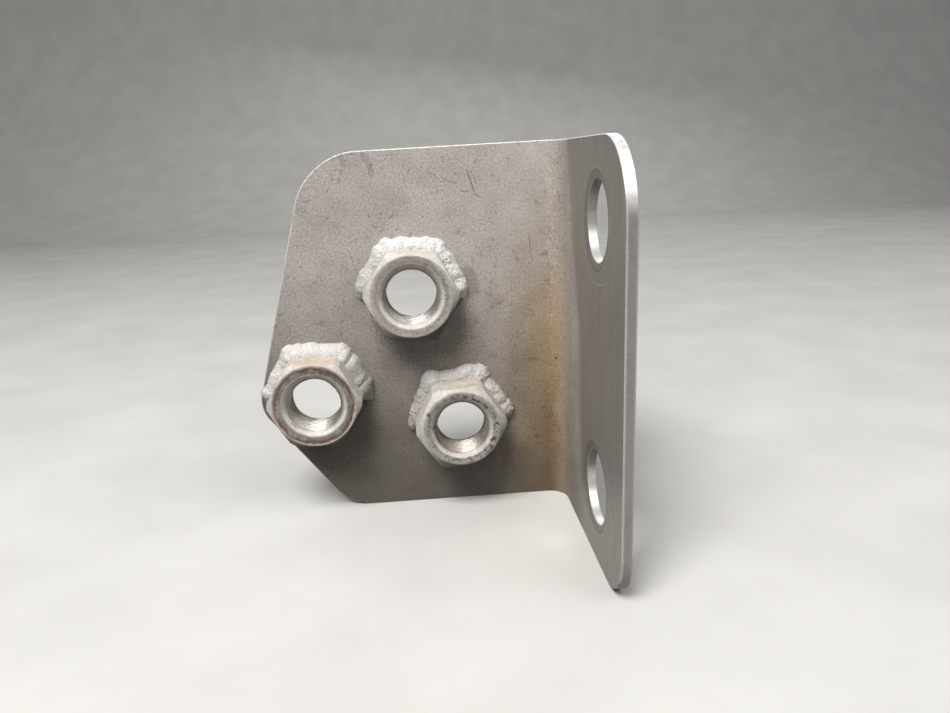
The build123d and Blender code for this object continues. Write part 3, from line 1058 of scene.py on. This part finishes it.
class OBJECT_OT_ground_plate_bead(bpy.types.Operator):
    """Lay one weld along the upper flats of a nut"""

    bl_idname = "object.ground_plate_bead"
    bl_label = "Add Weld Bead"
    bl_options = {"REGISTER", "UNDO"}

    nut: StringProperty(name="Nut", description="Which of the nuts", default="upper")

    def execute(self, context):
        settings = context.scene.ground_plate_beads
        size = in_millimetres(settings)
        nut_size = in_millimetres(context.scene.ground_plate_nuts)
        bead = BEADS[self.nut]
        bm = run_together(lay_lobes(nut_size, bead), size.voxel)
        for _ in range(SMOOTHING_PASSES):
            bmesh.ops.smooth_vert(bm, verts=bm.verts, factor=0.5, use_axis_x=True,
                                  use_axis_y=True, use_axis_z=True)
        mark_creases(bm)
        roughen(bm, size.relief, bead["flakes"], bead["seed"])
        press_in(bm, nut_size.across_flats / 2, size.sink)
        stand(bm, nut_seat(self.nut), NUTS[self.nut]["twist"])
        material = (bpy.data.materials.get("frosted_weld_metal")
                    or frosted_weld_metal(settings))
        finish_piece(bm, f"bead_{self.nut}", f"weld_bead_{self.nut}", material)
        return {"FINISHED"}


# The stage: its lengths are in metres but for the floor's, which are in millimetres

# The paper's left edge and width, its front edge, where it starts to sweep up and how
# sharply, and how it leans and rises from there
FLOOR = SimpleNamespace(left=-1200, width=2400, front=-900, back=600, sweep_radius=300,
                        sweep_angle=80, sweep_steps=24, rise=(0, 200, 1100))
# Each lamp's direction from the part, how far off it stands and how wide it is
LAMPS = {
    "key": ((-0.27, -0.5, 0.8), 0.6, 0.26),
    "side": ((0.5, -0.45, 0.75), 0.7, 0.4),
    "back": ((0.1, 0.7, 0.45), 0.8, 0.5),
}
LAMP_TARGET = Vector((-0.025, 0.02, 0.0))
ROOM_COLOUR = (1.0, 0.995, 0.985, 1.0)
SENSOR_WIDTH = 36.0


def sweep_floor(low_z):
    """Paper floor that runs up behind the part in one sweep."""
    bm = bmesh.new()
    start = bm.verts.new((FLOOR.left, FLOOR.front, low_z))
    end = bm.verts.new((FLOOR.left, FLOOR.back, low_z))
    bm.edges.new((start, end))
    swept = bmesh.ops.spin(bm, geom=[end], axis=(1, 0, 0), use_duplicate=False,
                           cent=(FLOOR.left, FLOOR.back, low_z + FLOOR.sweep_radius),
                           angle=math.radians(FLOOR.sweep_angle),
                           steps=FLOOR.sweep_steps)["geom_last"]
    top = bmesh.ops.extrude_vert_indiv(bm, verts=points(swept))["verts"]
    bmesh.ops.translate(bm, vec=FLOOR.rise, verts=top)
    sheet = bmesh.ops.extrude_edge_only(bm, edges=list(bm.edges))["geom"]
    bmesh.ops.translate(bm, vec=(FLOOR.width, 0, 0), verts=points(sheet))
    bmesh.ops.recalc_face_normals(bm, faces=bm.faces)
    if sum(f.normal.z for f in bm.faces) < 0:
        bmesh.ops.reverse_faces(bm, faces=bm.faces)
    return bm


def add_lamp(scene, name, towards, distance, width, watts):
    """Soft square lamp that looks at the middle of the part from a direction."""
    light = bpy.data.lights.new(name, "AREA")
    light.shape = "SQUARE"
    light.size = width
    light.energy = watts
    lamp = bpy.data.objects.new(name, light)
    direction = Vector(towards).normalized()
    lamp.matrix_world = (Matrix.Translation(LAMP_TARGET + direction * distance)
                         @ direction.to_track_quat("Z", "Y").to_matrix().to_4x4())
    scene.collection.objects.link(lamp)


def add_camera(scene, settings):
    """Camera at the photograph's viewing angle."""
    lens = bpy.data.cameras.new("studio_camera")
    lens.sensor_fit = "HORIZONTAL"
    lens.sensor_width = SENSOR_WIDTH
    lens.lens = settings.lens
    lens.clip_start = MM
    camera = bpy.data.objects.new("studio_camera", lens)
    camera.matrix_world = (
        Matrix.Translation(settings.eye) @ Matrix.Rotation(settings.yaw, 4, "Z")
        @ Matrix.Rotation(settings.pitch, 4, "X") @ Matrix.Rotation(settings.roll, 4, "Y")
        @ turned(90, "X")
    )
    scene.collection.objects.link(camera)
    scene.camera = camera


class SCENE_OT_ground_plate_stage(bpy.types.Operator):
    """Set the floor, the lamps and the camera"""

    bl_idname = "scene.ground_plate_stage"
    bl_label = "Add Stage"
    bl_options = {"REGISTER", "UNDO"}

    def execute(self, context):
        settings = context.scene.ground_plate_stage
        scene = context.scene
        low, _ = node_box("ground_plate")
        floor = make_object("studio_floor", sweep_floor(low.z))
        floor.data.materials.append(studio_paper(settings))

        for name, (towards, distance, width) in LAMPS.items():
            watts = getattr(settings, f"{name}_power")
            add_lamp(scene, f"{name}_lamp", towards, distance, width, watts)
        world = bpy.data.worlds.new("studio_room")
        world.use_nodes = True
        connect(world.node_tree, world.node_tree.nodes["Background"],
                {"Color": ROOM_COLOUR, "Strength": settings.fill})
        scene.world = world
        add_camera(scene, settings)
        scene.view_settings.view_transform = "Standard"
        return {"FINISHED"}


class VIEW3D_PT_ground_plate(bpy.types.Panel):
    """Sizes, colours and pieces of the ground plate"""

    bl_idname = "VIEW3D_PT_ground_plate"
    bl_label = "Ground Plate"
    bl_space_type = "VIEW_3D"
    bl_region_type = "UI"
    bl_category = "Ground Plate"

    def draw(self, context):
        for group, _, operator, nuts in PARTS:
            box = self.layout.box()
            settings = getattr(context.scene, group)
            for name in settings.__annotations__:
                box.prop(settings, name)
            for nut in nuts:
                label = f"{operator.bl_label}: {nut}"
                box.operator(operator.bl_idname, text=label).nut = nut
            if not nuts:
                box.operator(operator.bl_idname)


# Each part of the model: where its settings hang on the scene, their class, the operator that
# makes it, and the nuts that it is made for
PARTS = (
    ("ground_plate_sheet", SheetSettings, OBJECT_OT_ground_plate_sheet, ()),
    ("ground_plate_nuts", NutSettings, OBJECT_OT_ground_plate_nut, tuple(NUTS)),
    ("ground_plate_beads", BeadSettings, OBJECT_OT_ground_plate_bead, tuple(NUTS)),
    ("ground_plate_stage", StageSettings, SCENE_OT_ground_plate_stage, ()),
)


def register():
    """Registers the classes and hangs the settings on the scene."""
    for group, settings, operator, _ in PARTS:
        bpy.utils.register_class(settings)
        bpy.utils.register_class(operator)
        setattr(bpy.types.Scene, group, PointerProperty(type=settings))
    bpy.utils.register_class(VIEW3D_PT_ground_plate)


def unregister():
    """Takes away what register added."""
    bpy.utils.unregister_class(VIEW3D_PT_ground_plate)
    for group, settings, operator, _ in reversed(PARTS):
        delattr(bpy.types.Scene, group)
        bpy.utils.unregister_class(operator)
        bpy.utils.unregister_class(settings)


def main():
    """Builds every piece and the stage."""
    register()
    bpy.ops.object.ground_plate_sheet()
    for nut in NUTS:
        bpy.ops.object.ground_plate_nut(nut=nut)
        bpy.ops.object.ground_plate_bead(nut=nut)
    bpy.ops.scene.ground_plate_stage()


if __name__ == "__main__":
    main()
